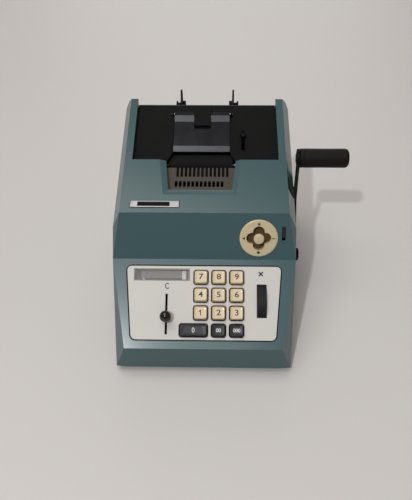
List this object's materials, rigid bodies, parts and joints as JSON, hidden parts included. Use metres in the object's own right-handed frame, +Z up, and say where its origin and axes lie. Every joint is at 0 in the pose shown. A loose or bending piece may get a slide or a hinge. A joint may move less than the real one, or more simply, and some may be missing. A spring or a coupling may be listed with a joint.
{
  "type": "adding machine",
  "caption": "Hand-cranked ten-key printing adding machine: sloped blue-green case, keyboard plate, entry window, selector, tear lid, side crank and rear paper-roll arms.",
  "frame": {"origin": "on the table, under the middle of the whole outline with crank and paper arms", "axes": "+X to the operator's right, +Y to the rear, +Z up"},
  "size_m": [0.2366, 0.2886, 0.1704],
  "materials": {
    "teal_paint": "semi-gloss blue-green paint",
    "black_paint": "satin black paint",
    "slate_paint": "satin dark slate paint",
    "pale_paint": "satin pale grey paint",
    "brown_grey_paint": "matt brown-grey paint",
    "cream_plastic": "glossy moulded plastic",
    "black_plastic": "glossy moulded plastic",
    "clear_plastic": "clear window",
    "white_plastic": "matt",
    "steel": "plain rolled and turned steel",
    "brass": "plain turned brass",
    "plate_aluminium": "satin plate, blank",
    "rubber": "matt rubber"
  },
  "bodies": {
    "base": {"housing": "teal_paint", "base_pan": "black_paint", "back_panel": "black_paint", "mechanism_cover": "black_paint", "paper_bracket": "black_paint", "arm_pad": "black_paint", "keyboard_plate": "pale_paint", "comb_plate": "brown_grey_paint", "selector_bezel": "cream_plastic", "window_lens": "clear_plastic", "case_screws": "steel", "frame_left": "steel", "frame_right": "steel", "cross_rods": "steel", "key_guides": "steel", "window_tray": "steel", "lid_pin": "steel", "paper_guide": "steel", "ribbon_deck": "steel", "crank_return_spring": "steel", "shaft_bushings": "brass", "key_spring_comb": "brass", "name_plate": "plate_aluminium", "rubber_feet": "rubber"},
    "crank": {"main_shaft": "steel", "crank_arm": "black_paint", "hub_cap": "black_paint", "grip_spindle": "steel", "drive_gear": "brass"},
    "grip": {"crank_grip": "black_plastic"},
    "cam": {"cam_gear": "brass"},
    "carriage": {"pin_carriage": "steel", "column_pointer": "white_plastic"},
    "clear": {"clear_knob": "black_plastic", "clear_slider": "steel"},
    "repeat": {"repeat_wheel": "black_plastic"},
    "selector_slide": {"selector_slide": "steel"},
    "selector_knob": {"selector_knob": "cream_plastic"},
    "print": {"print_slider": "black_plastic"},
    "lid": {"tear_lid": "slate_paint"},
    "release": {"release_knob": "black_plastic"},
    "type": {"type_bars": "steel"},
    "platen": {"platen_roller": "rubber", "platen_shaft": "steel"},
    "feed": {"feed_roller": "rubber"},
    "spool_left": {"ribbon_spool_left": "black_plastic"},
    "spool_right": {"ribbon_spool_right": "black_plastic"},
    "totalizer": {"totalizer": "steel"},
    "key_0": {"key_0": "black_plastic"},
    "key_00": {"key_00": "black_plastic"},
    "key_000": {"key_000": "black_plastic"},
    "key_1": {"key_1": "cream_plastic"},
    "key_2": {"key_2": "cream_plastic"},
    "key_3": {"key_3": "cream_plastic"},
    "key_4": {"key_4": "cream_plastic"},
    "key_5": {"key_5": "cream_plastic"},
    "key_6": {"key_6": "cream_plastic"},
    "key_7": {"key_7": "cream_plastic"},
    "key_8": {"key_8": "cream_plastic"},
    "key_9": {"key_9": "cream_plastic"}
  },
  "joints": [
    {"name": "crank_pull", "type": "hinge", "parent": "base", "child": "crank", "pos_m": [-0.02835, -0.04233, 0.065], "axis": [1, 0, 0], "range_deg": [0, 90], "stiffness_Nm_per_rad": 0.5, "springref_deg": -28.65, "deforming": ["crank_return_spring"]},
    {"name": "grip_turn", "type": "hinge", "parent": "crank", "child": "grip", "pos_m": [0.09165, 0.01889, 0.1428], "axis": [1, 0, 0], "continuous": true},
    {"name": "cam_turn", "type": "hinge", "parent": "base", "child": "cam", "pos_m": [-0.02835, -0.00633, 0.065], "axis": [1, 0, 0], "range_deg": [-90, 0]},
    {"name": "carriage_step", "type": "slide", "parent": "base", "child": "carriage", "axis": [-1, 0, 0], "range_m": [0, 0.037]},
    {"name": "clear_slide", "type": "slide", "parent": "base", "child": "clear", "axis": [0, 0.809, 0.5878], "range_m": [-0.014, 0.02], "stiffness_N_per_m": 200},
    {"name": "repeat_rock", "type": "hinge", "parent": "base", "child": "repeat", "pos_m": [0.02805, -0.09234, 0.04256], "axis": [1, 0, 0], "range_deg": [-8, 8]},
    {"name": "selector_up_down", "type": "slide", "parent": "base", "child": "selector_slide", "axis": [0, 0.4226, 0.9063], "range_m": [-0.0026, 0.0026], "stiffness_N_per_m": 600},
    {"name": "selector_left_right", "type": "slide", "parent": "selector_slide", "child": "selector_knob", "axis": [1, 0, 0], "range_m": [-0.0026, 0.0026], "stiffness_N_per_m": 600},
    {"name": "print_slide", "type": "slide", "parent": "base", "child": "print", "axis": [0, 0.4226, 0.9063], "range_m": [-0.0034, 0]},
    {"name": "lid_hinge", "type": "hinge", "parent": "base", "child": "lid", "pos_m": [-0.02835, 0.0744, 0.16105], "axis": [-1, 0, 0], "range_deg": [0, 95]},
    {"name": "release_slide", "type": "slide", "parent": "base", "child": "release", "axis": [0, 0.9613, 0.2756], "range_m": [-0.014, 0.004]},
    {"name": "type_lift", "type": "slide", "parent": "base", "child": "type", "axis": [0, -0.2756, 0.9613], "range_m": [0, 0.0071]},
    {"name": "platen_turn", "type": "hinge", "parent": "base", "child": "platen", "pos_m": [-0.02835, 0.02536, 0.12889], "axis": [1, 0, 0], "continuous": true},
    {"name": "feed_turn", "type": "hinge", "parent": "base", "child": "feed", "pos_m": [-0.02835, 0.02966, 0.1139], "axis": [1, 0, 0], "continuous": true},
    {"name": "spool_left_turn", "type": "hinge", "parent": "base", "child": "spool_left", "pos_m": [-0.06835, 0.05798, 0.14553], "axis": [0, -0.2756, 0.9613], "continuous": true},
    {"name": "spool_right_turn", "type": "hinge", "parent": "base", "child": "spool_right", "pos_m": [0.00365, 0.05798, 0.14553], "axis": [0, -0.2756, 0.9613], "continuous": true},
    {"name": "totalizer_turn", "type": "hinge", "parent": "base", "child": "totalizer", "pos_m": [-0.02835, -0.00422, 0.10689], "axis": [1, 0, 0], "continuous": true},
    {"name": "key_0_press", "type": "slide", "parent": "base", "child": "key_0", "axis": [0, 0.5878, -0.809], "range_m": [0, 0.004], "stiffness_N_per_m": 250, "springref_m": -0.004, "deforming": ["key_spring_comb"]},
    {"name": "key_00_press", "type": "slide", "parent": "base", "child": "key_00", "axis": [0, 0.5878, -0.809], "range_m": [0, 0.004], "stiffness_N_per_m": 250, "springref_m": -0.004, "deforming": ["key_spring_comb"]},
    {"name": "key_000_press", "type": "slide", "parent": "base", "child": "key_000", "axis": [0, 0.5878, -0.809], "range_m": [0, 0.004], "stiffness_N_per_m": 250, "springref_m": -0.004, "deforming": ["key_spring_comb"]},
    {"name": "key_1_press", "type": "slide", "parent": "base", "child": "key_1", "axis": [0, 0.5878, -0.809], "range_m": [0, 0.004], "stiffness_N_per_m": 250, "springref_m": -0.004, "deforming": ["key_spring_comb"]},
    {"name": "key_2_press", "type": "slide", "parent": "base", "child": "key_2", "axis": [0, 0.5878, -0.809], "range_m": [0, 0.004], "stiffness_N_per_m": 250, "springref_m": -0.004, "deforming": ["key_spring_comb"]},
    {"name": "key_3_press", "type": "slide", "parent": "base", "child": "key_3", "axis": [0, 0.5878, -0.809], "range_m": [0, 0.004], "stiffness_N_per_m": 250, "springref_m": -0.004, "deforming": ["key_spring_comb"]},
    {"name": "key_4_press", "type": "slide", "parent": "base", "child": "key_4", "axis": [0, 0.5878, -0.809], "range_m": [0, 0.004], "stiffness_N_per_m": 250, "springref_m": -0.004, "deforming": ["key_spring_comb"]},
    {"name": "key_5_press", "type": "slide", "parent": "base", "child": "key_5", "axis": [0, 0.5878, -0.809], "range_m": [0, 0.004], "stiffness_N_per_m": 250, "springref_m": -0.004, "deforming": ["key_spring_comb"]},
    {"name": "key_6_press", "type": "slide", "parent": "base", "child": "key_6", "axis": [0, 0.5878, -0.809], "range_m": [0, 0.004], "stiffness_N_per_m": 250, "springref_m": -0.004, "deforming": ["key_spring_comb"]},
    {"name": "key_7_press", "type": "slide", "parent": "base", "child": "key_7", "axis": [0, 0.5878, -0.809], "range_m": [0, 0.004], "stiffness_N_per_m": 250, "springref_m": -0.004, "deforming": ["key_spring_comb"]},
    {"name": "key_8_press", "type": "slide", "parent": "base", "child": "key_8", "axis": [0, 0.5878, -0.809], "range_m": [0, 0.004], "stiffness_N_per_m": 250, "springref_m": -0.004, "deforming": ["key_spring_comb"]},
    {"name": "key_9_press", "type": "slide", "parent": "base", "child": "key_9", "axis": [0, 0.5878, -0.809], "range_m": [0, 0.004], "stiffness_N_per_m": 250, "springref_m": -0.004, "deforming": ["key_spring_comb"]}
  ],
  "couplings": [
    {"joint": "cam_turn", "follows": "crank_pull", "ratio": -1},
    {"joint": "type_lift", "follows": "crank_pull", "m_per_rad": 0.004456},
    {"joint": "feed_turn", "follows": "platen_turn", "ratio": -2.619},
    {"joint": "spool_right_turn", "follows": "spool_left_turn", "ratio": 1}
  ]
}
